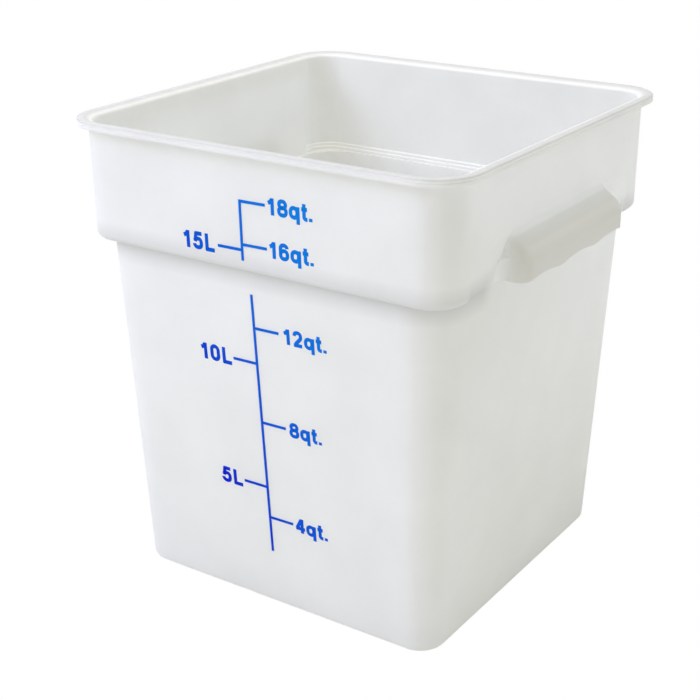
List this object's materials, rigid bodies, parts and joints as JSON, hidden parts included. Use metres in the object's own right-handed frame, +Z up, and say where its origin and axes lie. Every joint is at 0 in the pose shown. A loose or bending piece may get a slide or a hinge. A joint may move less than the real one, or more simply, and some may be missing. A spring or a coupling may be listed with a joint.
{
  "type": "dough proofing tub",
  "caption": "Square, tapering open tub in translucent white plastic, with a wider collar, a rolled rim, hooded side grips and a printed volume scale.",
  "frame": {"origin": "on the table, under the middle of the base", "axes": "+Z up; X from grip to grip; the printed scale is on the face towards -Y"},
  "size_m": [0.3044, 0.286, 0.32],
  "materials": {
    "polyethylene": "natural white, slightly translucent, satin moulded surface",
    "ink": "blue screen-printed ink"
  },
  "bodies": {
    "root": {"tub": "polyethylene", "band": "polyethylene", "rim": "polyethylene", "grip_left": "polyethylene", "grip_right": "polyethylene", "scale_marks": "ink"}
  },
  "joints": []
}
